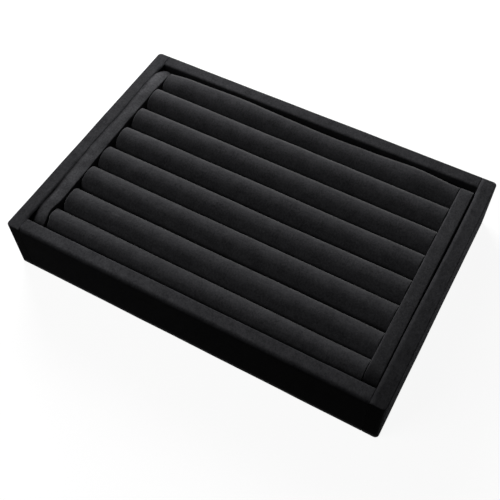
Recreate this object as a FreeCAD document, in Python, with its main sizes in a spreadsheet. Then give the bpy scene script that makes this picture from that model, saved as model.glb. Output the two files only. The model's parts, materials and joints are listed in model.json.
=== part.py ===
import FreeCAD, Part
import os

import Sketcher

# Ring tray: a velvet-covered frame with a lift-out insert of padded rolls.
# Millimetres. The origin is the middle of the underside, X along the tray's length,
# Y from its front to its back and Z up.

SIZES = [
    ("tray_length", 240, "outside of the frame along X"),
    ("tray_width", 165, "outside of the frame along Y"),
    ("tray_height", 38, "table to the top of the rim"),
    ("board_thickness", 8, "wall board without its velvet"),
    ("velvet_thickness", 0.6, "pile and backing together"),
    ("rim_edge_radius", 1.5, "rounding of the velvet on the outer edges"),
    ("rim_inner_radius", 0.8, "rounding of the velvet on the inner edge of the rim"),
    ("wall_turn_in", 2.5, "velvet turned under each edge of a wall board"),
    ("base_thickness", 3, "hardboard bottom"),
    ("liner_thickness", 0.6, "velvet on the floor of the frame"),
    ("liner_margin", 0.5, "floor velvet to the walls"),
    ("bottom_cover_thickness", 0.8, "felt under the tray"),
    ("bottom_cover_inset", 3, "edge of the frame to the edge of the felt"),
    ("brad_length", 22, "under its head"),
    ("brad_diameter", 1.2, "shank"),
    ("brad_head_diameter", 2, "head"),
    ("brad_head_thickness", 0.6, "head, flush with the board"),
    ("brad_edge_distance", 8, "edge of a board to the brad beside it"),
    ("insert_clearance", 0.4, "walls to the insert, all round"),
    ("insert_board_thickness", 2, "card under the rolls"),
    ("roll_count", 8, "rolls side by side"),
    ("roll_gap", 0.3, "between two rolls where they are widest"),
    ("roll_drop", 0.5, "rim down to the tops of the rolls"),
    ("roll_left_radius", 2.2, "rounding of a roll's left end"),
    ("roll_right_radius", 1.2, "rounding of a roll's right end"),
    ("roll_turn_in", 4, "velvet turned under each edge of a roll"),
    ("strip_thickness", 8, "end strip along X"),
    ("left_strip_gap", 0.8, "left strip to the ends of the rolls"),
    ("right_strip_gap", 0.3, "right strip to the ends of the rolls"),
    ("strip_drop", 0.3, "rim down to the top of an end strip"),
    ("strip_back_gap", 1.2, "end strip to the back edge of the card"),
    ("strip_edge_radius", 1.5, "rounding of an end strip's long edges"),
    ("strip_turn_in", 2, "velvet turned under each edge of an end strip"),
    ("left_front_radius", 18, "left strip's top corner at the front"),
    ("left_back_radius", 5, "left strip's top corner at the back"),
    ("right_front_radius", 9, "right strip's top corner at the front"),
    ("right_back_radius", 2, "right strip's top corner at the back"),
    ("overrun", 1, "how far a cut runs past the surface that it opens"),
]

doc = FreeCAD.newDocument("ring_tray")
sheet = doc.addObject("Spreadsheet::Sheet", "sizes")
for row, (alias, number, note) in enumerate(SIZES, start=1):
    sheet.set(f"A{row}", alias)
    sheet.set(f"B{row}", str(number))
    sheet.setAlias(f"B{row}", alias)
    sheet.set(f"C{row}", note)
doc.recompute()

# Sizes that follow from the sheet, as expressions.
VELVET = "sizes.velvet_thickness"
WALL = f"(sizes.board_thickness + 2 * {VELVET})"
INNER_LENGTH = f"(sizes.tray_length - 2 * {WALL})"
INNER_WIDTH = f"(sizes.tray_width - 2 * {WALL})"
WALL_HEIGHT = "(sizes.tray_height - sizes.bottom_cover_thickness)"
FRAME_BOTTOM = "sizes.bottom_cover_thickness"
LINER_BOTTOM = f"({FRAME_BOTTOM} + sizes.base_thickness)"
INSERT_BOTTOM = f"({LINER_BOTTOM} + sizes.liner_thickness)"
INSERT_LENGTH = f"({INNER_LENGTH} - 2 * sizes.insert_clearance)"
INSERT_WIDTH = f"({INNER_WIDTH} - 2 * sizes.insert_clearance)"
CARD_TOP = f"({INSERT_BOTTOM} + sizes.insert_board_thickness)"
ROLL_PITCH = f"({INSERT_WIDTH} / sizes.roll_count)"
ROLL_WIDTH = f"({ROLL_PITCH} - sizes.roll_gap)"
ROLL_LENGTH = f"({INSERT_LENGTH} - 2 * sizes.strip_thickness - sizes.left_strip_gap - sizes.right_strip_gap)"
ROLL_MIDDLE = "(sizes.left_strip_gap - sizes.right_strip_gap) / 2"
ROLL_HEIGHT = f"(sizes.tray_height - sizes.roll_drop - {CARD_TOP})"
STRIP_LENGTH = f"({INSERT_WIDTH} - sizes.strip_back_gap)"
STRIP_MIDDLE = "(-sizes.strip_back_gap / 2)"
STRIP_HEIGHT = f"(sizes.tray_height - sizes.strip_drop - {CARD_TOP})"

# How near two places are that count as the same one.
NEAR = 1e-6

nodes = []


def value(expression):
    """The number that an expression has now."""
    return float(sheet.evalExpression(expression))


def keep(thing, label):
    """Name a finished sub-part and list it for export."""
    thing.Label = label
    nodes.append(thing)


def place(thing, x, y, z):
    """Bind the place of a thing's own origin."""
    thing.setExpression("Placement.Base.x", x)
    thing.setExpression("Placement.Base.y", y)
    thing.setExpression("Placement.Base.z", z)


def box(name, size, middle_x, middle_y, bottom):
    """A plain box, given by the middle of its bottom face."""
    thing = doc.addObject("Part::Box", name)
    thing.setExpression("Length", size[0])
    thing.setExpression("Width", size[1])
    thing.setExpression("Height", size[2])
    place(thing, f"{middle_x} - {size[0]} / 2", f"{middle_y} - {size[1]} / 2", bottom)
    return thing


def taken_out(name, base, tools):
    """The base with every tool cut out of it."""
    joined = doc.addObject("Part::MultiFuse", f"{name}_cavity")
    joined.Shapes = tools
    cut = doc.addObject("Part::Cut", name)
    cut.Base = base
    cut.Tool = joined
    return cut


def sketch_on(body, role):
    """A new sketch on one of the body's own origin planes."""
    sketch = body.newObject("Sketcher::SketchObject", f"{body.Name}_sketch")
    plane = [feature for feature in body.Origin.OriginFeatures if feature.Role == role][0]
    sketch.AttachmentSupport = (plane, [""])
    sketch.MapMode = "FlatFace"
    return sketch


def join_ends(sketch, count):
    """Join the curves of a sketch end to start into one closed outline."""
    for index in range(count):
        sketch.addConstraint(Sketcher.Constraint("Coincident", index, 2, (index + 1) % count, 1))


def name_size(sketch, constraint, name, expression):
    """Add a measured constraint and bind it."""
    index = sketch.addConstraint(constraint)
    sketch.renameConstraint(index, name)
    sketch.setExpression(f"Constraints.{name}", expression)


def rectangle(sketch, across, along):
    """A rectangle centred on the sketch's origin."""
    half_x = value(across) / 2
    half_y = value(along) / 2
    corners = [(-half_x, -half_y), (half_x, -half_y), (half_x, half_y), (-half_x, half_y)]
    points = [FreeCAD.Vector(x, y, 0) for x, y in corners]
    for start, end in zip(points, points[1:] + points[:1]):
        sketch.addGeometry(Part.LineSegment(start, end), False)
    join_ends(sketch, len(points))
    for side, direction in enumerate(("Horizontal", "Vertical", "Horizontal", "Vertical")):
        sketch.addConstraint(Sketcher.Constraint(direction, side))
    sketch.addConstraint(Sketcher.Constraint("Symmetric", 0, 1, 2, 1, -1, 1))
    name_size(sketch, Sketcher.Constraint("DistanceX", 0, 1, 0, 2, 2 * half_x), "across", across)
    name_size(sketch, Sketcher.Constraint("DistanceY", 1, 1, 1, 2, 2 * half_y), "along", along)


def arch(sketch, across, rise):
    """A flat foot, two upright sides and a round top, centred on the sketch's upright axis."""
    half = value(across) / 2
    spring = value(rise) - half
    left_foot = FreeCAD.Vector(-half, 0, 0)
    right_foot = FreeCAD.Vector(half, 0, 0)
    right_spring = FreeCAD.Vector(half, spring, 0)
    left_spring = FreeCAD.Vector(-half, spring, 0)
    crown = FreeCAD.Vector(0, spring + half, 0)
    sketch.addGeometry(Part.LineSegment(left_foot, right_foot), False)
    sketch.addGeometry(Part.LineSegment(right_foot, right_spring), False)
    sketch.addGeometry(Part.Arc(right_spring, crown, left_spring), False)
    sketch.addGeometry(Part.LineSegment(left_spring, left_foot), False)
    for first, second in ((0, 1), (3, 0)):
        sketch.addConstraint(Sketcher.Constraint("Coincident", first, 2, second, 1))
    sketch.addConstraint(Sketcher.Constraint("Tangent", 1, 2, 2, 1))
    sketch.addConstraint(Sketcher.Constraint("Tangent", 2, 2, 3, 1))
    sketch.addConstraint(Sketcher.Constraint("Vertical", 1))
    sketch.addConstraint(Sketcher.Constraint("Vertical", 3))
    sketch.addConstraint(Sketcher.Constraint("Symmetric", 0, 1, 0, 2, -1, 1))
    name_size(sketch, Sketcher.Constraint("DistanceX", 0, 1, 0, 2, 2 * half), "across", across)
    upright = Sketcher.Constraint("DistanceY", 1, 1, 1, 2, spring)
    name_size(sketch, upright, "spring", f"{rise} - {across} / 2")


def pad(body, sketch, length, both_ways=False):
    """Raise a sketch into a solid."""
    feature = body.newObject("PartDesign::Pad", f"{body.Name}_pad")
    feature.Profile = sketch
    feature.setExpression("Length", length)
    feature.SideType = "Symmetric" if both_ways else "One side"
    sketch.Visibility = False
    doc.recompute()
    return feature


def round_edges(body, radius, wanted):
    """Fillet the edges of the body's last feature whose middle, seen from the body's centre, is wanted."""
    base = body.Tip
    centre = base.Shape.BoundBox.Center
    names = []
    for number, edge in enumerate(base.Shape.Edges, start=1):
        if wanted(edge.CenterOfMass - centre):
            names.append(f"Edge{number}")
    feature = body.newObject("PartDesign::Fillet", f"{body.Name}_round")
    feature.Base = (base, names)
    feature.setExpression("Radius", radius)
    doc.recompute()


def block(name, size, middle_x, middle_y, bottom):
    """A box as a body of its own, ready for rounded edges."""
    body = doc.addObject("PartDesign::Body", name)
    sketch = sketch_on(body, "XY_Plane")
    rectangle(sketch, size[0], size[1])
    pad(body, sketch, size[2])
    place(body, middle_x, middle_y, bottom)
    return body


# Wall boards: the side boards run the whole depth, and the front and back boards stand between them.
BOARD_HEIGHT = f"({WALL_HEIGHT} - 2 * {VELVET})"
BOARD_BOTTOM = f"({FRAME_BOTTOM} + {VELVET})"
SIDE_BOARD = ("sizes.board_thickness", f"(sizes.tray_width - 2 * {VELVET})", BOARD_HEIGHT)
CROSS_BOARD = (f"({INNER_LENGTH} + 2 * {VELVET})", "sizes.board_thickness", BOARD_HEIGHT)
SIDE_MIDDLE = f"(sizes.tray_length - {WALL}) / 2"
CROSS_MIDDLE = f"(sizes.tray_width - {WALL}) / 2"
SIDES = (("left", "-"), ("right", ""))
CROSSES = (("front", "-"), ("back", ""))

bare_boards = {}
for side, sign in SIDES:
    bare_boards[side] = box(f"{side}_plank", SIDE_BOARD, f"{sign}{SIDE_MIDDLE}", "0", BOARD_BOTTOM)
for side, sign in CROSSES:
    bare_boards[side] = box(f"{side}_plank", CROSS_BOARD, "0", f"{sign}{CROSS_MIDDLE}", BOARD_BOTTOM)


# Brads: driven through the side boards into the ends of the front and back boards.
def brad(name, inward, x, y, z):
    """A headed pin whose head is flush at x and which points inward along X."""
    turn = FreeCAD.Rotation(FreeCAD.Vector(0, 0, 1), FreeCAD.Vector(inward, 0, 0))
    shank = doc.addObject("Part::Cylinder", f"{name}_shank")
    shank.setExpression("Radius", "sizes.brad_diameter / 2")
    shank.setExpression("Height", "sizes.brad_length")
    head = doc.addObject("Part::Cylinder", f"{name}_head")
    head.setExpression("Radius", "sizes.brad_head_diameter / 2")
    head.setExpression("Height", "sizes.brad_head_thickness")
    for piece in (shank, head):
        piece.Placement = FreeCAD.Placement(FreeCAD.Vector(), turn)
        place(piece, x, y, z)
    pin = doc.addObject("Part::Fuse", name)
    pin.Base = shank
    pin.Tool = head
    return pin


BRAD_LEVELS = (
    f"{BOARD_BOTTOM} + sizes.brad_edge_distance",
    f"{BOARD_BOTTOM} + {BOARD_HEIGHT} - sizes.brad_edge_distance",
)
HEAD_FACE = f"(sizes.tray_length / 2 - {VELVET})"
brads = []
for side, sign in SIDES:
    inward = 1 if sign else -1
    for cross, cross_sign in CROSSES:
        for level, height in enumerate(BRAD_LEVELS, start=1):
            pin_name = f"brad_{side}_{cross}_{level}"
            brads.append(brad(pin_name, inward, f"{sign}{HEAD_FACE}", f"{cross_sign}{CROSS_MIDDLE}", height))
corner_brads = doc.addObject("Part::Compound", "corner_brads")
corner_brads.Links = brads
keep(corner_brads, "corner_brads")
for side, plank in bare_boards.items():
    keep(taken_out(f"{side}_board", plank, brads), f"{side}_board")

# Velvet of the walls: over the outside, the rim and the inside of each board, and turned under it.
SIDE_WRAP = (WALL, "sizes.tray_width", WALL_HEIGHT)
CROSS_WRAP = (INNER_LENGTH, WALL, WALL_HEIGHT)
SLOT_HEIGHT = f"({VELVET} + 2 * sizes.overrun)"
SLOT_BOTTOM = f"({FRAME_BOTTOM} - sizes.overrun)"
SLOT_WIDTH = "(sizes.board_thickness - 2 * sizes.wall_turn_in)"


def wall_wrap(side, cloth, slot, hidden_boards):
    """Velvet round a wall: its rounded outside, less the boards in it and what it leaves bare below."""
    wrap = taken_out(f"{side}_wrap", cloth, [slot] + [bare_boards[name] for name in hidden_boards])
    keep(wrap, f"{side}_wrap")


for side, sign in SIDES:
    outward = -1 if sign else 1
    middle = f"{sign}{SIDE_MIDDLE}"
    cloth = block(f"{side}_cloth", SIDE_WRAP, middle, "0", FRAME_BOTTOM)
    half_depth = value("sizes.tray_width") / 2
    round_edges(
        cloth,
        "sizes.rim_edge_radius",
        lambda at: at.x * outward > NEAR or (abs(at.x) < NEAR and abs(abs(at.y) - half_depth) < NEAR),
    )
    round_edges(
        cloth,
        "sizes.rim_inner_radius",
        lambda at: at.x * outward < -NEAR and abs(at.y) < NEAR and at.z > NEAR,
    )
    slot_size = (SLOT_WIDTH, f"({SIDE_BOARD[1]} - 2 * sizes.wall_turn_in)", SLOT_HEIGHT)
    slot = box(f"{side}_slot", slot_size, middle, "0", SLOT_BOTTOM)
    wall_wrap(side, cloth, slot, (side, "front", "back"))

for side, sign in CROSSES:
    outward = -1 if sign else 1
    middle = f"{sign}{CROSS_MIDDLE}"
    cloth = block(f"{side}_cloth", CROSS_WRAP, "0", middle, FRAME_BOTTOM)
    round_edges(
        cloth,
        "sizes.rim_edge_radius",
        lambda at: at.y * outward > NEAR and abs(at.x) < NEAR,
    )
    round_edges(
        cloth,
        "sizes.rim_inner_radius",
        lambda at: at.y * outward < -NEAR and abs(at.x) < NEAR and at.z > NEAR,
    )
    slot_size = (f"({CROSS_WRAP[0]} + 2 * sizes.overrun)", SLOT_WIDTH, SLOT_HEIGHT)
    slot = box(f"{side}_slot", slot_size, "0", middle, SLOT_BOTTOM)
    wall_wrap(side, cloth, slot, (side,))

# Bottom: a panel between the walls, velvet on it and felt under everything.
base_size = (INNER_LENGTH, INNER_WIDTH, "sizes.base_thickness")
keep(box("base", base_size, "0", "0", FRAME_BOTTOM), "base_panel")
liner_size = (
    f"({INNER_LENGTH} - 2 * sizes.liner_margin)",
    f"({INNER_WIDTH} - 2 * sizes.liner_margin)",
    "sizes.liner_thickness",
)
keep(box("liner", liner_size, "0", "0", LINER_BOTTOM), "floor_liner")
felt_size = (
    "(sizes.tray_length - 2 * sizes.bottom_cover_inset)",
    "(sizes.tray_width - 2 * sizes.bottom_cover_inset)",
    "sizes.bottom_cover_thickness",
)
keep(box("felt", felt_size, "0", "0", "0"), "bottom_cover")

# Insert: a card that carries the rolls and the end strips.
card_size = (INSERT_LENGTH, INSERT_WIDTH, "sizes.insert_board_thickness")
keep(box("card", card_size, "0", "0", INSERT_BOTTOM), "insert_board")


# Rolls: a foam bar with a round top in a velvet sleeve that is glued down on the card.
def roll_form(name, inset, middle_y):
    """The outside of a roll, drawn in by the inset all round."""
    body = doc.addObject("PartDesign::Body", name)
    sketch = sketch_on(body, "YZ_Plane")
    height = f"({ROLL_HEIGHT} - 2 * {inset})"
    arch(sketch, f"({ROLL_WIDTH} - 2 * {inset})", height)
    length = f"({ROLL_LENGTH} - 2 * {inset})"
    pad(body, sketch, length, both_ways=True)
    half_length = value(length) / 2
    half_height = value(height) / 2
    for end, direction in (("left", -1), ("right", 1)):
        round_edges(
            body,
            f"sizes.roll_{end}_radius - {inset}",
            lambda at: abs(at.x - direction * half_length) < NEAR and at.z > NEAR - half_height,
        )
    place(body, ROLL_MIDDLE, middle_y, f"{CARD_TOP} + {inset}")
    return body


for number in range(1, int(value("sizes.roll_count")) + 1):
    middle = f"({ROLL_PITCH} * ({number} - 0.5) - {INSERT_WIDTH} / 2)"
    sleeve = roll_form(f"roll_{number}_outside", "0", middle)
    core = roll_form(f"roll_{number}_inside", VELVET, middle)
    slot_size = (
        f"({ROLL_LENGTH} - 2 * sizes.roll_turn_in)",
        f"({ROLL_WIDTH} - 2 * sizes.roll_turn_in)",
        SLOT_HEIGHT,
    )
    slot = box(f"roll_{number}_slot", slot_size, ROLL_MIDDLE, middle, f"{CARD_TOP} - sizes.overrun")
    keep(taken_out(f"roll_{number}_sleeve", sleeve, [core, slot]), f"roll_cover_{number}")
    keep(core, f"roll_core_{number}")


# End strips: foam on edge in velvet, with the top corners worn round at the ends.
def strip_form(name, inset, side, middle_x):
    """The outside of an end strip, drawn in by the inset all round."""
    size = (
        f"(sizes.strip_thickness - 2 * {inset})",
        f"({STRIP_LENGTH} - 2 * {inset})",
        f"({STRIP_HEIGHT} - 2 * {inset})",
    )
    body = block(name, size, middle_x, STRIP_MIDDLE, f"{CARD_TOP} + {inset}")
    half_length = value(size[1]) / 2
    half_height = value(size[2]) / 2
    for end, direction in (("front", -1), ("back", 1)):
        round_edges(
            body,
            f"sizes.{side}_{end}_radius - {inset}",
            lambda at: abs(at.y - direction * half_length) < NEAR and abs(at.z - half_height) < NEAR,
        )
    round_edges(
        body,
        f"sizes.strip_edge_radius - {inset}",
        lambda at: abs(at.x) > NEAR and at.z > NEAR - half_height,
    )
    return body


for side, sign in SIDES:
    middle = f"{sign}({INSERT_LENGTH} - sizes.strip_thickness) / 2"
    sleeve = strip_form(f"{side}_strip_outside", "0", side, middle)
    core = strip_form(f"{side}_strip_inside", VELVET, side, middle)
    slot_size = (
        "(sizes.strip_thickness - 2 * sizes.strip_turn_in)",
        f"({STRIP_LENGTH} - 2 * sizes.strip_turn_in)",
        SLOT_HEIGHT,
    )
    slot = box(f"{side}_strip_slot", slot_size, middle, STRIP_MIDDLE, f"{CARD_TOP} - sizes.overrun")
    keep(taken_out(f"{side}_strip_sleeve", sleeve, [core, slot]), f"{side}_strip_cover")
    keep(core, f"{side}_strip_core")

doc.recompute()
for thing in doc.Objects:
    if "Invalid" in thing.State or "Error" in thing.State:
        raise RuntimeError(f"{thing.Label} failed: {thing.State}")
for node in nodes:
    if node.Shape.isNull() or not node.Shape.isValid() or not node.Shape.Solids:
        raise RuntimeError(f"{node.Label} has no valid solid")

os.makedirs("parts", exist_ok=True)
for node in nodes:
    node.Shape.exportStep(f"parts/{node.Label}.step")
    print(f"{node.Label}: {len(node.Shape.Solids)} solid, {node.Shape.Volume:.1f} mm3")
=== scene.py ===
import json
import math

import bmesh
import bpy
from bpy.props import FloatProperty, FloatVectorProperty, PointerProperty
from mathutils import Matrix, Vector, noise


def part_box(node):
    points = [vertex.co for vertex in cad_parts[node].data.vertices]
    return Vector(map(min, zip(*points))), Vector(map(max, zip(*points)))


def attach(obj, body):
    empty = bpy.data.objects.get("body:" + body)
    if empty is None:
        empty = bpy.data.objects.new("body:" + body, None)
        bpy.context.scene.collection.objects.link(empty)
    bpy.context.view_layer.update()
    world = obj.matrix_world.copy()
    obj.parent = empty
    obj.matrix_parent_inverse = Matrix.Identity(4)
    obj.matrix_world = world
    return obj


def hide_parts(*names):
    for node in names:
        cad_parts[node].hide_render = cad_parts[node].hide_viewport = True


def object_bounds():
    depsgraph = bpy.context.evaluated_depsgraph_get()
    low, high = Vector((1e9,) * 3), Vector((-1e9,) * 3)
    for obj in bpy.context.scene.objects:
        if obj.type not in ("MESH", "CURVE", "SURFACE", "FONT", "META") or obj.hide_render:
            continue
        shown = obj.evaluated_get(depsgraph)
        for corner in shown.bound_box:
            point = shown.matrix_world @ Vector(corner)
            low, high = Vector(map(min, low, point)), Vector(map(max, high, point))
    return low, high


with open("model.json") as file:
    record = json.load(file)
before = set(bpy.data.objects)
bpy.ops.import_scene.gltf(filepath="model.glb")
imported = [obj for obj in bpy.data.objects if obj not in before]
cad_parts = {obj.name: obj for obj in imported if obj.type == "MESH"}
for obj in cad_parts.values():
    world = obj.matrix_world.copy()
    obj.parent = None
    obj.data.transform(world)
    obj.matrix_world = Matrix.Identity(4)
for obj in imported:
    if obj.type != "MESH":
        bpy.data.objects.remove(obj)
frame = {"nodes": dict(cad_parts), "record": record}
cad_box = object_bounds()

bl_info = {
    "name": "Velvet ring tray",
    "version": (1, 0, 0),
    "blender": (4, 5, 0),
    "location": "3D View > Sidebar > Ring tray",
    "description": "Covers the ring tray in velvet, pads its rolls and sets its studio stage",
    "category": "Add Mesh",
}

MM = 0.001
X, Y, Z = 0, 1, 2
ROLLS = sorted(int(name.rsplit("_", 1)[1]) for name in frame["nodes"] if name.startswith("roll_cover_"))
FRONT_ROLL = ROLLS[0]
BACK_ROLL = ROLLS[-1]
WALLS = ("front", "back", "left", "right")
# Where the inner face of the back wall lies along Y, and how far the rolls stay off it.
BACK_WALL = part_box("back_wrap")[0].y
WALL_CLEARANCE = 0.3 * MM

# Distances between the cuts of each kind of mesh, in the order in which it is cut.
WALL_CUTS = (4 * MM, 2.3 * MM, 3.5 * MM)
ROLL_CUTS = (2.6 * MM, 3 * MM, 2.8 * MM)
STRIP_CUTS = (2.4 * MM, 1.7 * MM, 2.6 * MM)
SHEET_CUTS = (6 * MM, 6 * MM)
# Room between an eased edge, or a seam, and the cut beside it that keeps the face flat.
EDGE_MARGIN = 0.4 * MM
SEAM_MARGIN = 0.5 * MM
# Points nearer than this count as in one place, and cuts nearer than this to a point go through it.
SAME_PLACE = 0.02 * MM
CUT_SNAP = 0.15 * MM
# Edges shorter than this are dissolved.
SHORTEST_EDGE = 0.05 * MM
# The least angle between the faces of a sharp edge, in radians.
SHARP = 0.8
# Corner and edge radius of the flat sheets.
SHEET_CORNER = 2 * MM
SHEET_EDGE = 0.2 * MM

# Long swell, short swell and the short one's share, in the velvet of a wall and in a roll's top.
WALL_SWELLS = (28 * MM, 9 * MM, 0.4)
ROLL_SWELLS = (42 * MM, 13 * MM, 0.35)
# Size of the swells in the left strip's top.
STRIP_SWELL = 6 * MM
# How far a left seam is pushed over the other wall, as a share of that wall's eased edge.
SEAM_OVERLAP = 0.8
# How far from a corner the velvet of a wall is held flat.
CORNER_HOLD = 22 * MM
# Where along Y the right wall's gap opens, how near to the corner it closes, and how deep it is.
GAP_RUN = (-42 * MM, 28 * MM)
GAP_CLOSING = 9 * MM
GAP_DEPTH = 8 * MM
# How far along a roll its squeezed left end reaches, and how far below the roll's axis.
ROLL_END_RUN = 8 * MM
ROLL_END_DEPTH = 6 * MM
# How far in front of its axis the front roll's left end is turned away in full.
FRONT_TURN_RUN = 5 * MM
# Heights above a roll's axis below which painted shade darkens its pile downwards, and below which its cover
# is held.
ROLL_SHADE_TOP = 3 * MM
ROLL_HELD = 1.5 * MM
# The same two for a strip, as depths below its top.
STRIP_SHADE_TOP = 6 * MM
STRIP_HELD = 9 * MM
# Depths of the cuts close below a strip's top, and place of the one beside its outer edge.
STRIP_TOP_CUTS = (0.5 * MM, 1.1 * MM)
STRIP_EDGE_CUT = 0.7 * MM
# Depth at which the left strip begins to bulge over the rim, and the height within which it does.
OVERHANG_DEPTH = 0.5 * MM
OVERHANG_RISE = 0.9 * MM
# How much fuller than round the back roll is where it leans on the wall.
SHOULDER = 0.6 * MM
# Where along Y the left strip begins to lean out and to be pressed out, and where it does so in full.
LEAN_RUN = (-56 * MM, -16 * MM)
PRESS_RUN = (-45 * MM, 5 * MM)
# Depths below each strip's top at which its shape begins to give way, and does so in full.
LEFT_CREST = (24 * MM, 6 * MM)
RIGHT_CREST = (7 * MM, 1 * MM)

# Each roll's shift, rise and shortfall at its left end, counted from the front, in millimetres.
ROLL_SETTLING = (
    (-0.75, -0.2, 1.2), (-1.0, -0.1, 2.2), (-0.05, 0.0, 0.9), (-0.25, 0.0, 0.8),
    (0.55, 0.2, 0.9), (0.75, 0.4, 0.6), (1.4, 0.8, 0.3), (1.3, 0.9, 0.0),
)
# Middle along X, half width and height of the back roll's humps and hollows, in millimetres.
BACK_ROLL_HUMPS = ((-103, 8, -1.5), (-51, 26, 0.8), (72, 16, 1.3), (18, 22, -0.7), (99, 12, -0.6))
# Middle along Y, half width, and give of the outer and inner edge in the left strip's bulges, in millimetres.
LEFT_STRIP_BULGES = (
    (50, 6, 0.95, 0.2), (36, 6, 0.3, 0.0), (21, 6, -0.3, 0.0),
    (9, 6, 0.25, 0.0), (-6, 7, 0.45, 0.0), (-61, 5, 0.25, 1.2),
)
# Bend radii of each strip's top at its front end, back end, left edge and right edge, in millimetres.
STRIP_BENDS = {"left": (3, 1.5, 0.25, 0.5), "right": (10, 5, 0.6, 0.35)}

# How strongly each velvet shines at its edges.
SHEEN = {"wall": 0.04, "floor": 0.12, "roll": 0.2, "strip": 0.08}
# How light a wall, strip or roll is made at its front or left end and at the other end: the lean of its pile,
# with painted light and shade that follows how the light falls off across the tray.
PILE_LEAN_AND_LIGHT = {
    "front_wall": (1.4, 1.12), "back_wall": (1.16, 1.22), "left_wall": (1.01, 1.14),
    "right_wall": (0.6, 1.24), "left_strip": (1.42, 1.55), "right_strip": (0.63, 1.08), "roll": (1.0, 1.15),
}
# The share of that on each wall's upright face, at the same two ends: painted shade on the faces turned from
# the lights, and on the right face painted light for its grazing sheen.
FACE_SHADE_AND_LIGHT = {"front": (0.17, 0.05), "back": (0.3, 0.3), "left": (0.3, 0.3), "right": (2.8, 2.8)}
# The share of it beside the left corner seams, a painted shade, and its reach in millimetres.
SEAM_SHADE = 0.8
SEAM_REACH = 5
# How much painted light lightens the left rim's rounded inner edge where another wall butts against it.
BUTT_LIGHT = 2
# The share of it on each strip's front end, back end and tip, which are bent: painted light and shade for how
# the bends face the light.
END_LIGHT_AND_SHADE = {"left": (1.1, 1.5, 1.6), "right": (0.5, 1.0, 1.1)}
# The shares of it left by painted shade in the crease along the left strip, on the faces of its tip turned to
# the corner, and low on the padding.
CREASE_SHADE = 0.15
TIP_SHADE = 0.07
LOW_SHADE = 0.1
# The share of it on the right wall's rounded outer edge: painted light for the low light from the side.
EDGE_LIGHT = 3.0
# Distances from a strip's end or outer edge at which its painted light and shade begin and are complete.
FRONT_RUN = (12 * MM, 0)
BACK_RUN = (24 * MM, 12 * MM)
TIP_RUN = (9.8 * MM, 2.8 * MM)
CREASE_RUN = (0.1725 * MM, 1.3225 * MM)
# How far a face of the tip is turned to the corner where its painted shade begins, and where it is full.
TIP_SHADE_TURN = (0.24, 0.84)
# Depth within which painted shade darkens the padding downwards.
LOW_SHADE_RUN = 9 * MM

# How strongly the floor shows shadows, glows to the camera and throws light back.
FLOOR_SHADOW = 0.15
FLOOR_GLOW = 0.92
FLOOR_RETURN = 0.08
# Strength of the even light from all round.
WORLD_LIGHT = 0.03
# Size and place of each light, in metres.
LIGHTS = {
    "key": ((0.4, 0.32), (-0.39, 0.37, 0.235)),
    "side": ((0.5, 0.03), (0.6, 0.25, 0.02)),
    "fill": ((0.6, 0.6), (-0.5, -0.7, 0.8)),
}


def linear(hex_code):
    """sRGB hex to the linear colour that a shader takes."""
    parts = [int(hex_code[at:at + 2], 16) / 255 for at in (1, 3, 5)]
    return [part / 12.92 if part <= 0.04045 else ((part + 0.055) / 1.055) ** 2.4 for part in parts]


def length(name, description, millimetres):
    return FloatProperty(
        name=name, description=description, default=millimetres * MM, unit="LENGTH", precision=5
    )


def colour(name, description, hex_code):
    return FloatVectorProperty(
        name=name, description=description, default=linear(hex_code), subtype="COLOR", size=3,
        min=0.0, max=1.0,
    )


def amount(name, description, default):
    return FloatProperty(name=name, description=description, default=default)


class TrayWallSizes(bpy.types.PropertyGroup):
    velvet: length("Velvet", "Thickness of the velvet on the walls", 0.45)
    board_radius: length("Board edge", "Radius of the wall boards' upper and upright edges", 1.8)
    outer_radius: length("Outer edge", "Radius of the rim's outer edge", 0.6)
    corner_radius: length("Corner", "Radius of the tray's upright outer corners", 2.4)
    front_radius: length("Front edge", "Radius of the front rim's outer edge", 2.4)
    inner_radius: length("Inner edge", "Radius of the rim's inner edge", 0.8)
    back_radius: length("Back inner edge", "Radius of the back rim's inner edge", 2.0)
    right_gap: length("Right gap", "How far the right wall's inner edge is drawn back behind", 0.7)
    seam_radius: length("Seam", "How far the velvet rolls in at the right corner seams", 0.45)
    tight_seam: length("Tight seam", "How far it rolls in at the left corner seams, which hardly show", 0.15)
    unevenness: length("Unevenness", "How far the stretched velvet departs from the board", 0.14)


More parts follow.
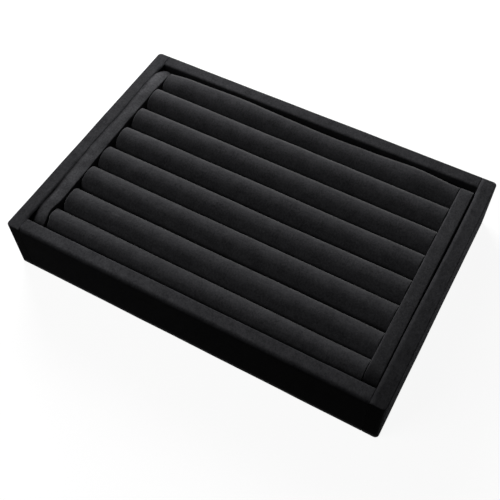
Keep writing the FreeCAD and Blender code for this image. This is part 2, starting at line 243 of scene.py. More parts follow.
class TrayPadSizes(bpy.types.PropertyGroup):
    roll_end: length("Roll end", "Edge radius of the rolls' ends", 0.5)
    end_gap: length("End gap", "Room between a roll's right end and the strip beside it", 0.75)
    end_press: length("End press", "How far a roll's left end is squeezed out against the strip", 0.5)
    end_reach: length("End reach", "How much further that is at the roll's back", 1.5)
    front_turn: length("Front turn", "How far the front roll's left end turns away from the strip", 1.6)
    roll_unevenness: length("Roll unevenness", "How far a roll's top rises and falls along it", 0.35)
    roll_slope: length("Roll slope", "How much lower the rolls lie at the right end than in the middle", 0.5)
    roll_slant: length("Roll slant", "How much nearer to the front the rolls lie at the right end", 0.4)
    strip_lean: length("Strip lean", "How far the left strip's top leans out over the rim", 1.5)
    strip_press: length("Strip press", "How far the rolls press out the left strip's inner edge", 0.45)
    strip_push: length("Strip push", "How much further they press it out at the back", 1.2)
    strip_unevenness: length("Strip unevenness", "How far the left strip's top rises and falls", 0.45)
    strip_rise: length("Strip rise", "How far the left strip's outer edge is pushed up", 0.65)
    strip_tilt: length("Strip tilt", "How much lower the left strip's inner edge lies than the outer", 1.75)
    strip_tip: length("Strip tip", "Length of the left strip's rounded back end", 11.6)
    strip_short: length("Strip short", "How much the left strip's tip stays short of the back wall", 2.2)
    strip_bend: length("Strip bend", "Radius that the left strip's top bends down in at the front", 22.0)
    strip_bend_run: length("Strip bend run", "Length of that bend along the strip", 14.0)
    strip_gap: length("Strip gap", "How far the right strip's outer edge stands off the rim", 0.2)
    strip_spread: length("Strip spread", "How far the right strip's inner edge spreads to the rolls", 0.5)
    pressure: amount("Pressure", "Pressure of the filling against the cover", 4.0)
    roll_travel: length("Roll travel", "Furthest that a point of a roll's cover may move when filled", 0.6)
    strip_travel: length("Strip travel", "The same for a strip, which stays flat", 0.08)


class TrayColours(bpy.types.PropertyGroup):
    wall_pile: colour("Wall pile", "Velvet of the walls, pile upright", "#121214")
    wall_brushed: colour("Wall brushed", "Velvet of the walls, pile brushed over", "#3e3e40")
    roll_pile: colour("Roll pile", "Velvet of the rolls, pile upright", "#121214")
    roll_brushed: colour("Roll brushed", "Velvet of the rolls, pile brushed over", "#3e3e40")
    strip_pile: colour("Strip pile", "Velvet of the end strips, pile upright", "#1b1b1d")
    strip_brushed: colour("Strip brushed", "Velvet of the end strips, pile brushed over", "#48484a")
    felt: colour("Felt", "Felt under the tray", "#1c1c1e")
    floor: colour("Floor", "Studio floor", "#f4f4f4")


class TrayStage(bpy.types.PropertyGroup):
    key: amount("Key light", "Power of the large soft light at the back left, in watts", 7.0)
    side: amount("Side light", "Power of the low light at the right, in watts", 0.5)
    fill: amount("Fill light", "Power of the weak light at the front left, in watts", 3.9)
    lens: amount("Lens", "Focal length on a 36 mm sensor, in millimetres", 56.43)


def add_node(tree, kind, inputs=None, **settings):
    """Add a node, set it up, and give its inputs a value or a link."""
    made = tree.nodes.new(kind)
    for name, value in settings.items():
        setattr(made, name, value)
    for name, value in (inputs or {}).items():
        if isinstance(value, bpy.types.NodeSocket):
            tree.links.new(value, made.inputs[name])
        else:
            made.inputs[name].default_value = value
    return made


def new_material(name, roughness, specular):
    """A material with its Principled shader and Object coordinates."""
    material = bpy.data.materials.new(name)
    material.use_nodes = True
    tree = material.node_tree
    shader = tree.nodes["Principled BSDF"]
    shader.inputs["Roughness"].default_value = roughness
    shader.inputs["Specular IOR Level"].default_value = specular
    place = add_node(tree, "ShaderNodeTexCoord").outputs["Object"]
    return material, tree, shader, place


def velvet(name, pile, brushed, sheen):
    """Black cut-pile velvet: near black face on, lighter where hands brushed it, and scaled by the lean
    attribute, which holds the pile's lean with painted light and shade.
    """
    material, tree, shader, place = new_material(name, 0.95, 0.004)
    shader.inputs["Sheen Weight"].default_value = sheen
    shader.inputs["Sheen Roughness"].default_value = 0.35
    shader.inputs["Sheen Tint"].default_value = (1.0, 1.0, 1.0, 1.0)
    # Brushed patches about 8 mm across.
    patches = add_node(
        tree, "ShaderNodeTexNoise", {"Vector": place, "Scale": 1 / (8 * MM), "Detail": 2.0, "Roughness": 0.6}
    )
    # Tufts are 0.4 mm in life and drawn at 1 mm, and longer across the rolls, so that they show.
    combed = add_node(tree, "ShaderNodeMapping", {"Vector": place, "Scale": (1.0, 0.75, 0.75)})
    tufts = add_node(
        tree, "ShaderNodeTexNoise",
        {"Vector": combed.outputs["Vector"], "Scale": 1 / (1.0 * MM), "Detail": 4.0, "Roughness": 0.8},
    )
    spread = add_node(
        tree, "ShaderNodeMapRange",
        {
            "Value": patches.outputs["Fac"], "From Min": 0.25, "From Max": 0.75,
            "To Min": -0.37, "To Max": -0.13,
        },
    )
    mixed = add_node(
        tree, "ShaderNodeMath", {0: tufts.outputs["Fac"], 1: 1.5, 2: spread.outputs["Result"]},
        operation="MULTIPLY_ADD", use_clamp=True,
    )
    shade = add_node(
        tree, "ShaderNodeMix", {"Factor": mixed.outputs["Value"], "A": (*pile, 1.0), "B": (*brushed, 1.0)},
        data_type="RGBA",
    )
    # The lean attribute scales the colour: the pile's lean, with painted light and shade.
    lean = add_node(tree, "ShaderNodeAttribute", attribute_name="lean")
    lit_tone = add_node(
        tree, "ShaderNodeVectorMath", {0: shade.outputs["Result"], "Scale": lean.outputs["Fac"]},
        operation="SCALE",
    )
    tree.links.new(lit_tone.outputs["Vector"], shader.inputs["Base Color"])
    add_bump(tree, shader, tufts, 0.3, 0.3 * MM)
    return material


def add_bump(tree, shader, pattern, strength, distance):
    """Let a pattern raise the surface."""
    bump = add_node(
        tree, "ShaderNodeBump", {"Height": pattern.outputs["Fac"], "Strength": strength, "Distance": distance}
    )
    tree.links.new(bump.outputs["Normal"], shader.inputs["Normal"])


def ramp(value, start, end):
    """From 0 at the start to 1 at the end, level before and after them."""
    share = min(1.0, max(0.0, (value - start) / (end - start)))
    return share * share * (3 - 2 * share)


def bell(place, middle, width):
    """A rounded hump from 0 to 1, with its middle and half width in millimetres."""
    return math.exp(-((place / MM - middle) / width) ** 2)


def hump(place, middle, width, height):
    """The height of a rounded hump at this place, with the hump's own measures in millimetres."""
    return height * MM * bell(place, middle, width)


def wander(point, size, seed):
    """Smooth noise from -1 to 1 with swells of about this size."""
    return noise.noise(Vector(point) / size + Vector((seed * 3.7, seed * 1.9, seed * 0.6)))


def block(low, high):
    """A box between two corners."""
    shape = bmesh.new()
    bmesh.ops.create_cube(shape, size=1.0)
    bmesh.ops.scale(shape, vec=high - low, verts=shape.verts)
    bmesh.ops.translate(shape, vec=(low + high) / 2, verts=shape.verts)
    return shape


def near(value, target):
    return abs(value - target) < SAME_PLACE


def edges_where(shape, test):
    """The edges whose two ends both pass the test."""
    return [edge for edge in shape.edges if all(test(corner.co) for corner in edge.verts)]


def sharp_edges(shape, test):
    """The edges that pass the test and whose two faces meet at a clear angle."""
    return [edge for edge in edges_where(shape, test) if edge.calc_face_angle() > SHARP]


def round_edges(shape, edges, radius, segments):
    bmesh.ops.bevel(
        shape, geom=edges, offset=radius, affect="EDGES", segments=segments, profile=0.5, material=-1,
        clamp_overlap=True,
    )


def cut_across(shape, axis, place, faces=()):
    """Cut the shape, or only these faces of it, straight across an axis, so that it can bend there."""
    normal = Vector((0, 0, 0))
    normal[axis] = 1
    parts = [*shape.verts, *shape.edges, *shape.faces]
    if faces:
        parts = [*dict.fromkeys(part for face in faces for part in (*face.verts, *face.edges)), *faces]
    bmesh.ops.bisect_plane(shape, geom=parts, dist=CUT_SNAP, plane_co=normal * place, plane_no=normal)


def slice_up(shape, axes, steps):
    """Cut the shape across each axis about every step."""
    for axis, step in zip(axes, steps):
        places = [corner.co[axis] for corner in shape.verts]
        low, high = min(places), max(places)
        cuts = round((high - low) / step)
        for cut in range(1, cuts):
            cut_across(shape, axis, low + (high - low) * cut / cuts)


def even_lean(point):
    return 1.0


def lean_along(axis, low, high, ends):
    """The lean of a pile, with painted light and shade, that changes evenly from one end of a piece to the
    other.
    """
    def lean(place):
        share = (place[axis] - low[axis]) / (high[axis] - low[axis])
        return ends[0] + (ends[1] - ends[0]) * share

    return lean


def shade_below(place, height):
    """One above this height, falling off below it: painted shade that darkens the padding downwards."""
    return LOW_SHADE + (1 - LOW_SHADE) * ramp(place.z, height - LOW_SHADE_RUN, height)


def finish_piece(name, shape, material, slot, body, *stands_for, lean=even_lean):
    """Make the shape a smooth piece at the origin that rides on its body in place of its CAD nodes."""
    bmesh.ops.recalc_face_normals(shape, faces=shape.faces)
    mesh = bpy.data.meshes.new(name)
    shape.to_mesh(mesh)
    shape.free()
    mesh.shade_smooth()
    mesh.materials.append(material)
    # The lean attribute carries the pile's lean, with painted light and shade, into the velvet's colour.
    leans = mesh.attributes.new("lean", "FLOAT", "POINT")
    leans.data.foreach_set("value", [lean(point) for point in mesh.vertices])
    piece = bpy.data.objects.new(name, mesh)
    bpy.context.scene.collection.objects.link(piece)
    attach(piece, body)
    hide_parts(*stands_for)
    return piece


def hold_below(piece, height):
    """Mark the points that glue and neighbours hold while the cover is filled."""
    held = piece.vertex_groups.new(name="held")
    held.add([point.index for point in piece.data.vertices if point.co.z < height], 1.0, "REPLACE")


class RINGTRAY_OT_walls(bpy.types.Operator):
    """Stretch velvet over the four wall boards, with a seam in each corner"""
    bl_idname = "ring_tray.walls"
    bl_label = "Wall velvet"

    def execute(self, context):
        sizes = context.scene.ring_tray_walls
        colours = context.scene.ring_tray_colours
        pile = velvet("Velvet, wall", colours.wall_pile, colours.wall_brushed, SHEEN["wall"])
        for seed, side in enumerate(WALLS):
            low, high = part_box(f"{side}_wrap")
            across, along = wall_axes(side)
            bend = sizes.front_radius if side == "front" else sizes.outer_radius
            shape = wall_shape(side, low, high, bend, sizes)
            if across == Y:
                close_left_seam(shape, low, high, sizes)
            if side == "right":
                draw_back(shape, low, high, sizes)
            stretch(shape, along, low, high, seed, sizes)
            piece = finish_piece(
                f"{side}_wall_velvet", shape, pile, "velvet", "tray", f"{side}_wrap",
                lean=wall_lean_and_light(side, low, high, bend, sizes),
            )
            skin = piece.modifiers.new("Velvet", "SOLIDIFY")
            skin.thickness = sizes.velvet
            skin.offset = -1
        return {"FINISHED"}


def wall_axes(side):
    """The axes across a wall and along it."""
    return (Y, X) if side in ("front", "back") else (X, Y)


def wall_shape(side, low, high, bend, sizes):
    """A wall's velvet as a block with eased edges, cut up finely enough to bend."""
    across, along = wall_axes(side)
    outside, inside = (low, high) if abs(low[across]) > abs(high[across]) else (high, low)
    inward = 1 if outside is low else -1
    shape = block(low, high)
    if across == X:
        for end in (low, high):
            corner = edges_where(shape, lambda at: near(at.y, end.y) and near(at.x, outside.x))
            round_edges(shape, corner, sizes.corner_radius, 6)
        top = edges_where(shape, lambda at: near(at.z, high.z))
        soft = [edge for edge in top if not all(near(at.co.x, inside.x) for at in edge.verts)]
    else:
        soft = edges_where(shape, lambda at: near(at.z, high.z) and near(at.y, outside.y))
    round_edges(shape, soft, bend, 5)
    rim = edges_where(shape, lambda at: near(at.z, high.z) and near(at[across], inside[across]))
    round_edges(shape, rim, sizes.back_radius if side == "back" else sizes.inner_radius, 4)
    for end in (low, high):
        if across == Y:
            seam = edges_where(shape, lambda at: near(at.x, end.x))
        else:
            seam = edges_where(shape, lambda at: near(at.x, inside.x) and near(at.y, end.y))
        at_right = side == "right" or across == Y and end is high
        round_edges(shape, seam, sizes.seam_radius if at_right else sizes.tight_seam, 3)
    slice_up(shape, (along, across, Z), WALL_CUTS)
    cut_across(shape, Z, high.z - sizes.inner_radius)
    # Cuts close beside the eased edges and the seams keep the faces between them flat.
    end_margin = sizes.outer_radius + EDGE_MARGIN
    cut_across(shape, along, low[along] + end_margin)
    cut_across(shape, along, high[along] - end_margin)
    cut_across(shape, across, outside[across] + inward * (bend + EDGE_MARGIN))
    if across == X:
        corner_margin = sizes.corner_radius + EDGE_MARGIN
        cut_across(shape, Y, low.y + corner_margin)
        cut_across(shape, Y, high.y - corner_margin)
        cut_across(shape, X, outside.x + inward * corner_margin)
        ends = [face for face in shape.faces if all(near(abs(at.co.y), high.y) for at in face.verts)]
        cut_across(shape, X, inside.x - inward * SEAM_MARGIN, ends)
    bmesh.ops.dissolve_degenerate(shape, edges=shape.edges, dist=SHORTEST_EDGE)
    return shape


def close_left_seam(shape, low, high, sizes):
    """Push a wall's left end over the eased edge of the wall that it butts against."""
    for point in shape.verts:
        if point.co.x < low.x + 2 * sizes.tight_seam:
            top = max(0.0, 1 - (high.z - point.co.z) / sizes.inner_radius)
            point.co.x -= SEAM_OVERLAP * sizes.inner_radius * top


def draw_back(shape, low, high, sizes):
    """Draw the right wall's inner edge back from the strip, from the middle to the back corner."""
    width = high.x - low.x
    corner = high.y - width
    for point in shape.verts:
        inner = (high.x - point.co.x) / width
        upper = ramp(point.co.z, high.z - GAP_DEPTH, high.z)
        drawn = ramp(point.co.y, *GAP_RUN) * ramp(point.co.y, corner, corner - GAP_CLOSING)
        point.co.x += sizes.right_gap * inner * upper * drawn


def stretch(shape, along, low, high, seed, sizes):
    """Let the stretched velvet depart from its board, except near the corners, which hold it flat."""
    bmesh.ops.recalc_face_normals(shape, faces=shape.faces)
    shape.normal_update()
    long_swell, short_swell, share = WALL_SWELLS
    lift = {}
    for point in shape.verts:
        swell = wander(point.co, long_swell, seed + 1) + share * wander(point.co, short_swell, seed + 5)
        from_end = min(point.co[along] - low[along], high[along] - point.co[along])
        lift[point] = point.normal * sizes.unevenness * swell * ramp(from_end, 0, CORNER_HOLD)
    for point, move in lift.items():
        move[along] = 0
        point.co += move


def wall_lean_and_light(side, low, high, bend, sizes):
    """The lean of a wall's pile, with painted light and shade, as a function of a point of its mesh."""
    across, along = wall_axes(side)
    rim_lean_and_light = lean_along(along, low, high, PILE_LEAN_AND_LIGHT[f"{side}_wall"])

    def lean_at(point):
        place = point.co
        depth = max(0.0, high.z - place.z - sizes.unevenness)
        turned = math.acos(max(0.0, 1 - depth / bend))
        share = ramp(turned, 0, math.pi / 2)
        face = side
        if across == X and place.y < low.y + bend:
            face = "front"
        if across == X and place.y > high.y - bend:
            face = "back"
        face_axis = wall_axes(face)[1]
        # Painted shade on the upright faces turned from the lights, and painted light on the right face.
        face_painted_share = lean_along(face_axis, *cad_box, FACE_SHADE_AND_LIGHT[face])(place)
        lean = rim_lean_and_light(place) * (1 - share + face_painted_share * share)
        # Painted light on the right wall's rounded outer edge.
        if side == "right" and place.x > high.x - bend:
            lean *= 1 + (EDGE_LIGHT - 1) * math.sin(2 * turned) ** 2
        # Painted light on the left rim's rounded inner edge where it is turned from the key light.
        if side == "left" and abs(place.y) > BACK_WALL:
            lean *= 1 + BUTT_LIGHT * (1 - share) * max(0.0, point.normal.x)
        # Painted shade beside the left corner seams.
        if across == Y:
            lean *= 1 - (1 - SEAM_SHADE) * bell(place.x - low.x, 0, SEAM_REACH)
        return lean

    return lean_at


class RINGTRAY_OT_sheets(bpy.types.Operator):
    """Lay the velvet on the tray's floor and the felt under it"""
    bl_idname = "ring_tray.sheets"
    bl_label = "Liner and felt"

    def execute(self, context):
        colours = context.scene.ring_tray_colours
        liner = velvet("Velvet, floor", colours.wall_pile, colours.wall_brushed, SHEEN["floor"])
        felt = needled_felt("Needled felt", colours.felt)
        for name, node, material, slot in (
            ("floor_velvet", "floor_liner", liner, "velvet"),
            ("underside_felt", "bottom_cover", felt, "felt"),
        ):
            low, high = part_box(node)
            shape = block(low, high)
            corners = [edge for edge in shape.edges if is_upright(edge)]
            round_edges(shape, corners, SHEET_CORNER, 4)
            outline = sharp_edges(shape, lambda at: near(at.z, high.z))
            outline += sharp_edges(shape, lambda at: near(at.z, low.z))
            round_edges(shape, outline, SHEET_EDGE, 2)
            slice_up(shape, (X, Y), SHEET_CUTS)
            piece = finish_piece(name, shape, material, slot, "tray", node)
        return {"FINISHED"}


def is_upright(edge):
    start, end = (corner.co for corner in edge.verts)
    return near(start.x, end.x) and near(start.y, end.y)


def needled_felt(name, shade):
    """Thin black needled felt: a dull matted surface of short tangled fibres."""
    material, tree, shader, place = new_material(name, 1.0, 0.05)
    dark = [part * 0.6 for part in shade]
    light = [part * 1.5 for part in shade]
    # Clumps of fibre about 2 mm across.
    clumps = add_node(
        tree, "ShaderNodeTexNoise", {"Vector": place, "Scale": 1 / (2 * MM), "Detail": 4.0, "Roughness": 0.7}
    )
    mix_tones(tree, shader, clumps, dark, light)
    add_bump(tree, shader, clumps, 0.5, 0.4 * MM)
    return material


def mix_tones(tree, shader, pattern, dark, light):
    """Let a pattern mix two tones into the base colour."""
    tone = add_node(
        tree, "ShaderNodeMix", {"Factor": pattern.outputs["Fac"], "A": (*dark, 1.0), "B": (*light, 1.0)},
        data_type="RGBA",
    )
    tree.links.new(tone.outputs["Result"], shader.inputs["Base Color"])


class RINGTRAY_OT_rolls(bpy.types.Operator):
    """Sew the padded rolls that grip rings between them"""
    bl_idname = "ring_tray.rolls"
    bl_label = "Ring rolls"

    def execute(self, context):
        sizes = context.scene.ring_tray_pads
        colours = context.scene.ring_tray_colours
        pile = velvet("Velvet, roll", colours.roll_pile, colours.roll_brushed, SHEEN["roll"])
        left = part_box("left_strip_cover")[1].x
        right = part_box("right_strip_cover")[0].x - sizes.end_gap
        for number in ROLLS:
            low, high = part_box(f"roll_cover_{number}")
            short = ROLL_SETTLING[number - 1][2] * MM
            low.x, high.x = left + short, right
            middle = roll_middle(low, high)
            shape = roll_shape(low, high, sizes)
            for point in shape.verts:
                point.co = roll_place(point.co, number, low, high, sizes)
            # The roll's colour carries painted light along it and painted shade low in its valleys.
            top_lean_and_light = lean_along(X, low, high, PILE_LEAN_AND_LIGHT["roll"])
            piece = finish_piece(
                f"ring_roll_{number}", shape, pile, "roll_velvet", "insert",
                f"roll_cover_{number}", f"roll_core_{number}",
                lean=lambda point: top_lean_and_light(point.co) * shade_below(point.co, middle.z + ROLL_SHADE_TOP),
            )
            hold_below(piece, middle.z + ROLL_HELD)
        return {"FINISHED"}


def roll_middle(low, high):
    """A point on the axis of a roll's round top."""
    return Vector((0, (low.y + high.y) / 2, high.z - (high.y - low.y) / 2))


def roll_shape(low, high, sizes):
    """A roll with a round top and eased ends, cut up finely enough to swell."""
    radius = (high.y - low.y) / 2
    shape = block(low, high)
    tops = edges_where(shape, lambda at: near(at.z, high.z))
    tops = [edge for edge in tops if near(edge.verts[0].co.y, edge.verts[1].co.y)]
    round_edges(shape, tops, radius * 0.995, 12)
    for end in (low, high):
        rim = sharp_edges(shape, lambda at: near(at.x, end.x))
        round_edges(shape, rim, sizes.roll_end, 3)
    slice_up(shape, (X, Y, Z), ROLL_CUTS)
    return shape


def roll_place(at, number, low, high, sizes):
    """Where a point of a roll goes: swollen, squeezed out at the left end and pressed against the walls."""
    at = at.copy()
    shift, rise = (size * MM for size in ROLL_SETTLING[number - 1][:2])
    radius = (high.y - low.y) / 2
    middle = roll_middle(low, high)
    out = at - middle
    out.x = 0
    share = at.x / high.x
    raised = ramp(at.z, low.z, middle.z)
    if out.z > 0:
        long_swell, short_swell, short_share = ROLL_SWELLS
        swell = wander((at.x, 0, 0), long_swell, number)
        swell += short_share * wander(at, short_swell, number + 11)
        swell = swell * sizes.roll_unevenness + rise - sizes.roll_slope * share
        if number == BACK_ROLL:
            swell += sum(hump(at.x, place, spread, height) for place, spread, height in BACK_ROLL_HUMPS)
            swell += back_shoulder(out, radius)
        at += out.normalized() * swell * min(1.0, out.z / radius) ** 0.7
    # Each left end is squeezed out against the strip, and further at its back.
    reach = sizes.end_press
    if out.y > 0:
        reach += sizes.end_reach * min(1.0, 2.2 * (1 - max(0.0, out.z) / radius))
    elif number == FRONT_ROLL:
        reach -= sizes.front_turn * ramp(out.y, 0, -FRONT_TURN_RUN)
    reach *= ramp(out.z, -ROLL_END_DEPTH, 0)
    at.x -= reach * max(0.0, 1 - (at.x - low.x) / ROLL_END_RUN)
    # The rolls at the front and the back are squeezed against the wall.
    aside = (shift - sizes.roll_slant * share) * raised
    room = BACK_WALL - WALL_CLEARANCE - abs(middle.y + aside)
    if room < radius and out.y * middle.y > 0:
        at.y -= out.y * (1 - room / radius)
    at.y += aside
    return at


def back_shoulder(out, radius):
    """How much fuller than round the back roll stands where it leans on the back wall."""
    if out.y <= 0:
        return 0.0
    return SHOULDER * (2 * out.y * out.z / (radius * radius)) ** 2


class RINGTRAY_OT_strips(bpy.types.Operator):
    """Sew the padded strips at the two ends of the rolls"""
    bl_idname = "ring_tray.strips"
    bl_label = "End strips"

    def execute(self, context):
        sizes = context.scene.ring_tray_pads
        colours = context.scene.ring_tray_colours
        pile = velvet("Velvet, strip", colours.strip_pile, colours.strip_brushed, SHEEN["strip"])
        for side in STRIP_BENDS:
            low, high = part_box(f"{side}_strip_cover")
            shape = strip_shape(side, low, high)
            place_point = left_strip_place if side == "left" else right_strip_place
            for point in shape.verts:
                point.co = place_point(point.co, low, high, sizes)
            piece = finish_piece(
                f"{side}_end_strip", shape, pile, "roll_velvet", "insert",
                f"{side}_strip_cover", f"{side}_strip_core", lean=strip_lean(side, low, high, sizes),
            )
            hold_below(piece, high.z - STRIP_HELD)
        return {"FINISHED"}


def strip_shape(side, low, high):
    """A strip with eased ends and edges, cut up finely enough to bend."""
    front_bend, back_bend, left_bend, right_bend = STRIP_BENDS[side]
    shape = block(low, high)
    for end, bend in ((low, front_bend), (high, back_bend)):
        edges = edges_where(shape, lambda at: near(at.z, high.z) and near(at.y, end.y))
        round_edges(shape, edges, bend * MM, 9)
    for flank, bend in ((low, left_bend), (high, right_bend)):
        rim = sharp_edges(shape, lambda at: near(at.x, flank.x))
        round_edges(shape, rim, bend * MM, 4)
    slice_up(shape, (Y, X, Z), STRIP_CUTS)
    # Cuts close below the top and beside the outer edge let them bulge.
    for depth in STRIP_TOP_CUTS:
        cut_across(shape, Z, high.z - depth)
    cut_across(shape, X, low.x + STRIP_EDGE_CUT)
    return shape


def strip_lean(side, low, high, sizes):
    """The lean of a strip's pile, with painted light and shade, as a function of a point of its mesh."""
    top_lean_and_light = lean_along(Y, low, high, PILE_LEAN_AND_LIGHT[f"{side}_strip"])

    def lean_at(point):
        place = point.co
        front = ramp(place.y - low.y, *FRONT_RUN)
        back = ramp(high.y - place.y, *BACK_RUN)
        tip = ramp(high.y - place.y, *TIP_RUN)
        lean = top_lean_and_light(place) * shade_below(place, high.z - STRIP_SHADE_TOP)
        # Painted light and shade on the bent ends and the tip.
        for end, share in zip((front, back, tip), END_LIGHT_AND_SHADE[side]):
            lean *= 1 + (share - 1) * end
        if side == "left":
            # Painted shade in the crease along the outer edge.
            edge = low.x - left_strip_lean(place.y, sizes)
            lean *= CREASE_SHADE + (1 - CREASE_SHADE) * ramp(place.x - edge, *CREASE_RUN)
            # Painted shade darkens the faces of the tip that are turned to the corner.
            tip_shade = back * ramp(point.normal.y - point.normal.x, *TIP_SHADE_TURN)
            lean *= 1 - (1 - TIP_SHADE) * tip_shade
        return lean

    return lean_at


def right_strip_place(at, low, high, sizes):
    """Where a point of the right strip goes: off the rim, and spread towards the rolls."""
    at = at.copy()
    crest = ramp(high.z - at.z, *RIGHT_CREST)
    outer = (at.x - low.x) / (high.x - low.x)
    at.x -= (sizes.strip_gap * outer + sizes.strip_spread * (1 - outer)) * crest
    return at


def left_strip_lean(place, sizes):
    """How far the left strip's outer edge leans out at this place along it: hardly in front."""
    bulges = sum(hump(place, middle, width, outer) for middle, width, outer, inner in LEFT_STRIP_BULGES)
    return sizes.strip_lean * ramp(place, *LEAN_RUN) + bulges


def left_strip_press(place, sizes):
    """How far the rolls press the left strip's inner edge out at this place along it."""
    bulges = sum(hump(place, middle, width, inner) for middle, width, outer, inner in LEFT_STRIP_BULGES)
    return sizes.strip_press + sizes.strip_push * ramp(place, *PRESS_RUN) + bulges


def left_strip_place(at, low, high, sizes):
    """Where a point of the left strip goes: bent down in front, rounded behind, leaning out over the rim."""
    at = at.copy()
    inner = (at.x - low.x) / (high.x - low.x)
    raised = ramp(at.z, low.z, high.z)
    crest = ramp(high.z - at.z, *LEFT_CREST)
    past = max(0.0, (at.y - (high.y - sizes.strip_tip)) / sizes.strip_tip)
    at.x = high.x - (high.x - at.x) * max(0.1, math.sqrt(max(0.0, 1 - past * past)))
    bend = max(0.0, low.y + sizes.strip_bend_run - at.y)
    drop = sizes.strip_bend - math.sqrt(sizes.strip_bend ** 2 - bend * bend)
    at.z += (sizes.strip_rise - sizes.strip_tilt * inner - drop) * raised
    # The outer edge bulges over the rim's inner edge only above it.
    over = min(1.0, max(0.0, (at.z - (high.z - OVERHANG_DEPTH)) / OVERHANG_RISE)) ** 3
    lean = left_strip_lean(at.y, sizes) * (1 - past * past)
    press = left_strip_press(at.y, sizes) * (1 - past * past)
    at.z += sizes.strip_unevenness * wander(at, STRIP_SWELL, 21) * crest
    at.x -= lean * over * (1 - inner) + press * crest * inner
    at.y -= sizes.strip_short * past * past * crest
    return at


class RINGTRAY_OT_settle(bpy.types.Operator):
    """Fill the rolls and strips: the cloth solver presses each cover out from its foam"""
    bl_idname = "ring_tray.settle"
    bl_label = "Fill the padding"

    def execute(self, context):
        sizes = context.scene.ring_tray_pads
        travels = {f"ring_roll_{number}": sizes.roll_travel for number in ROLLS}
        travels["left_end_strip"] = sizes.strip_travel
        travels["right_end_strip"] = sizes.strip_travel
        pieces = [bpy.data.objects[name] for name in travels]
        fill_covers(context, pieces, sizes.pressure, travels)
        for piece in pieces:
            even = piece.modifiers.new("Even cover", "SUBSURF")
            even.levels = 1
            even.render_levels = 1
        return {"FINISHED"}


def fill_covers(context, pieces, pressure, travels):
    """Run the cloth solver on all covers at once, then apply its result with each point's travel capped."""
    last_frame = 20
    for piece in pieces:
        cloth = piece.modifiers.new("Filling", "CLOTH")
        cloth.settings.quality = 5
        cloth.settings.use_pressure = True
        cloth.settings.uniform_pressure_force = pressure
        cloth.settings.vertex_group_mass = "held"
        cloth.settings.effector_weights.gravity = 0
        cloth.collision_settings.use_collision = False
        cloth.point_cache.frame_start = 1
        cloth.point_cache.frame_end = last_frame
    for step in range(1, last_frame + 1):
        context.scene.frame_set(step)
    graph = context.evaluated_depsgraph_get()
    for piece in pieces:
        filled = [point.co.copy() for point in piece.evaluated_get(graph).data.vertices]
        piece.modifiers.remove(piece.modifiers["Filling"])
        for point, place in zip(piece.data.vertices, filled):
            move = place - point.co
            if move.length > travels[piece.name]:
                move.length = travels[piece.name]
            point.co += move
    context.scene.frame_set(1)


class RINGTRAY_OT_boards(bpy.types.Operator):
    """Give the boards, panels and pins inside the tray their own materials"""
    bl_idname = "ring_tray.boards"
    bl_label = "Boards and pins"

    def execute(self, context):
        sizes = context.scene.ring_tray_walls
        fibreboard = pressed_fibre("Medium-density fibreboard", "#b98f62", "#a57c51", 0.8)
        hardboard = pressed_fibre("Tempered hardboard", "#6a4527", "#56371f", 3.0)
        greyboard = pressed_fibre("Grey bookbinder's board", "#8b8782", "#78746f", 2.0)
        for side in WALLS:
            low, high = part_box(f"{side}_board")
            shape = block(low, high)
            outer = [edge for edge in shape.edges if not all(near(end.co.z, low.z) for end in edge.verts)]
            round_edges(shape, outer, sizes.board_radius, 4)
            finish_piece(f"{side}_wall_board", shape, fibreboard, "mdf", "tray", f"{side}_board")
        finishes = {"hardboard": hardboard, "greyboard": greyboard, "steel": bright_pins()}
        for part in frame["record"]["subparts"]:
            finish = finishes.get(part["material_slot"])
            if finish:
                for place in frame["nodes"][part["node"]].material_slots:
                    place.material = finish
        return {"FINISHED"}


def pressed_fibre(name, light, dark, fleck):
    """Pressed wood or paper fibre: dull, even, with fine flecks of this size in millimetres."""
    material, tree, shader, place = new_material(name, 0.85, 0.3)
    flecks = add_node(
        tree, "ShaderNodeTexNoise",
        {"Vector": place, "Scale": 1 / (fleck * MM), "Detail": 5.0, "Roughness": 0.7},
    )
    mix_tones(tree, shader, flecks, linear(dark), linear(light))
    add_bump(tree, shader, flecks, 0.2, 0.1 * MM)
    return material


def bright_pins():
    """Drawn steel wire: bright, with faint scratches."""
    material, tree, shader, place = new_material("Drawn steel wire", 0.35, 0.5)
    shader.inputs["Metallic"].default_value = 1.0
    shader.inputs["Base Color"].default_value = (*linear("#c4c4c6"), 1.0)
    # Scratches 0.2 mm apart.
    scratches = add_node(
        tree, "ShaderNodeTexNoise", {"Vector": place, "Scale": 1 / (0.2 * MM), "Detail": 2.0}
    )
    worn = add_node(
        tree, "ShaderNodeMapRange", {"Value": scratches.outputs["Fac"], "To Min": 0.25, "To Max": 0.45}
    )
    tree.links.new(worn.outputs["Result"], shader.inputs["Roughness"])
    return material


class RINGTRAY_OT_stage(bpy.types.Operator):
    """Set the pale floor, the soft lights and the camera"""
    bl_idname = "ring_tray.stage"
    bl_label = "Stage"

    def execute(self, context):
        scene = context.scene
        stage = scene.ring_tray_stage
        scene.view_settings.view_transform = "Standard"
        lay_floor(scene, scene.ring_tray_colours.floor)
        light_world(scene)
        for name, (size, place) in LIGHTS.items():
            add_light(scene, f"{name.capitalize()} light", getattr(stage, name), size, place)
        place_camera(scene, stage.lens)
        return {"FINISHED"}


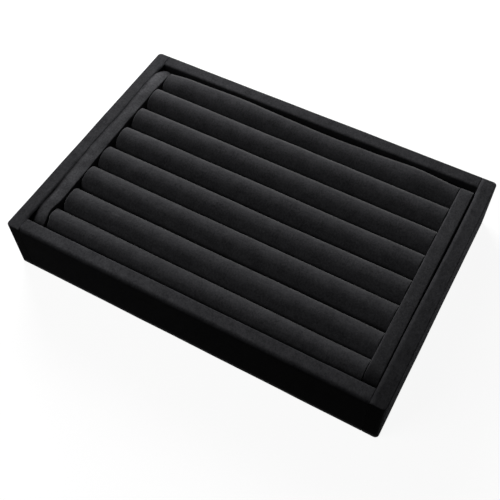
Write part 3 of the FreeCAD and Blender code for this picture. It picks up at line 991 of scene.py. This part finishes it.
def lay_floor(scene, shade):
    """A matt pale floor: white to the eye, with the shadow, and throwing little light up at the tray."""
    shape = bmesh.new()
    bmesh.ops.create_grid(shape, x_segments=1, y_segments=1, size=3.0)
    mesh = bpy.data.meshes.new("floor")
    shape.to_mesh(mesh)
    shape.free()
    floor = bpy.data.objects.new("floor", mesh)
    scene.collection.objects.link(floor)
    material = bpy.data.materials.new("Matt white paper")
    material.use_nodes = True
    tree = material.node_tree
    tree.nodes.clear()
    seen = background_rays(tree)
    faint = [part * FLOOR_SHADOW for part in shade]
    shadowed = add_node(tree, "ShaderNodeBsdfDiffuse", {"Color": (*faint, 1.0)})
    glow = add_node(tree, "ShaderNodeEmission", {"Color": (1.0, 1.0, 1.0, 1.0), "Strength": FLOOR_GLOW})
    paper = add_node(tree, "ShaderNodeAddShader", {0: shadowed.outputs["BSDF"], 1: glow.outputs["Emission"]})
    dim = add_node(
        tree, "ShaderNodeBsdfDiffuse", {"Color": (FLOOR_RETURN, FLOOR_RETURN, FLOOR_RETURN, 1.0)}
    )
    both = add_node(
        tree, "ShaderNodeMixShader", {0: seen, 1: dim.outputs["BSDF"], 2: paper.outputs["Shader"]}
    )
    add_node(tree, "ShaderNodeOutputMaterial", {"Surface": both.outputs["Shader"]})
    floor.data.materials.append(material)


def background_rays(tree):
    """One for rays that show the background: the camera's, and those of gloss and glass."""
    path = add_node(tree, "ShaderNodeLightPath")
    first = add_node(
        tree, "ShaderNodeMath", {0: path.outputs["Is Camera Ray"], 1: path.outputs["Is Glossy Ray"]},
        operation="MAXIMUM",
    )
    second = add_node(
        tree, "ShaderNodeMath", {0: first.outputs["Value"], 1: path.outputs["Is Transmission Ray"]},
        operation="MAXIMUM",
    )
    return second.outputs["Value"]


def light_world(scene):
    """White where it is seen, and a faint even light elsewhere."""
    world = bpy.data.worlds.new("Studio")
    world.use_nodes = True
    scene.world = world
    tree = world.node_tree
    seen = background_rays(tree)
    strength = add_node(tree, "ShaderNodeMapRange", {"Value": seen, "To Min": WORLD_LIGHT, "To Max": 1.0})
    shown = tree.nodes["Background"]
    shown.inputs["Color"].default_value = (1.0, 1.0, 1.0, 1.0)
    tree.links.new(strength.outputs["Result"], shown.inputs["Strength"])


def add_light(scene, name, power, size, place):
    """A rectangular soft light that faces the tray."""
    lamp = bpy.data.lights.new(name, "AREA")
    lamp.shape = "RECTANGLE"
    lamp.size, lamp.size_y = size
    lamp.energy = power
    light = bpy.data.objects.new(name, lamp)
    light.location = place
    light.rotation_euler = Vector(place).to_track_quat("Z", "Y").to_euler()
    scene.collection.objects.link(light)


def place_camera(scene, lens):
    """The photograph's viewpoint: from the front right and well above."""
    turn, rise, roll = math.radians(30.36), math.radians(55.834), math.radians(-1.431)
    distance, across, up = 0.49331, -0.0034, -0.00616
    back = Vector((math.sin(turn) * math.cos(rise), -math.cos(turn) * math.cos(rise), math.sin(rise)))
    level = Vector((0, 0, 1)).cross(back).normalized()
    upright = back.cross(level)
    right = level * math.cos(roll) + upright * math.sin(roll)
    top = upright * math.cos(roll) - level * math.sin(roll)
    lens_data = bpy.data.cameras.new("Camera")
    lens_data.sensor_width = 36.0
    lens_data.lens = lens
    lens_data.clip_start = 0.01
    camera = bpy.data.objects.new("Camera", lens_data)
    move = Matrix.Translation(right * across + top * up + back * distance)
    camera.matrix_world = move @ Matrix((right, top, back)).transposed().to_4x4()
    scene.collection.objects.link(camera)
    scene.camera = camera


STEPS = (
    RINGTRAY_OT_boards,
    RINGTRAY_OT_walls,
    RINGTRAY_OT_sheets,
    RINGTRAY_OT_rolls,
    RINGTRAY_OT_strips,
    RINGTRAY_OT_settle,
    RINGTRAY_OT_stage,
)
GROUPS = {
    "ring_tray_walls": TrayWallSizes,
    "ring_tray_pads": TrayPadSizes,
    "ring_tray_colours": TrayColours,
    "ring_tray_stage": TrayStage,
}


class RINGTRAY_PT_panel(bpy.types.Panel):
    """Sizes, colours and steps of the ring tray"""
    bl_idname = "RINGTRAY_PT_panel"
    bl_label = "Ring tray"
    bl_space_type = "VIEW_3D"
    bl_region_type = "UI"
    bl_category = "Ring tray"

    def draw(self, context):
        for name, group in GROUPS.items():
            box = self.layout.box()
            for field in group.__annotations__:
                box.prop(getattr(context.scene, name), field)
        for step in STEPS:
            self.layout.operator(step.bl_idname)


def register():
    for group in GROUPS.values():
        bpy.utils.register_class(group)
    for name, group in GROUPS.items():
        setattr(bpy.types.Scene, name, PointerProperty(type=group))
    for step in STEPS:
        bpy.utils.register_class(step)
    bpy.utils.register_class(RINGTRAY_PT_panel)


def unregister():
    bpy.utils.unregister_class(RINGTRAY_PT_panel)
    for step in reversed(STEPS):
        bpy.utils.unregister_class(step)
    for name in GROUPS:
        delattr(bpy.types.Scene, name)
    for group in reversed(GROUPS.values()):
        bpy.utils.unregister_class(group)


def main():
    register()
    bpy.ops.ring_tray.boards()
    bpy.ops.ring_tray.walls()
    bpy.ops.ring_tray.sheets()
    bpy.ops.ring_tray.rolls()
    bpy.ops.ring_tray.strips()
    bpy.ops.ring_tray.settle()
    bpy.ops.ring_tray.stage()


if __name__ == "__main__":
    main()
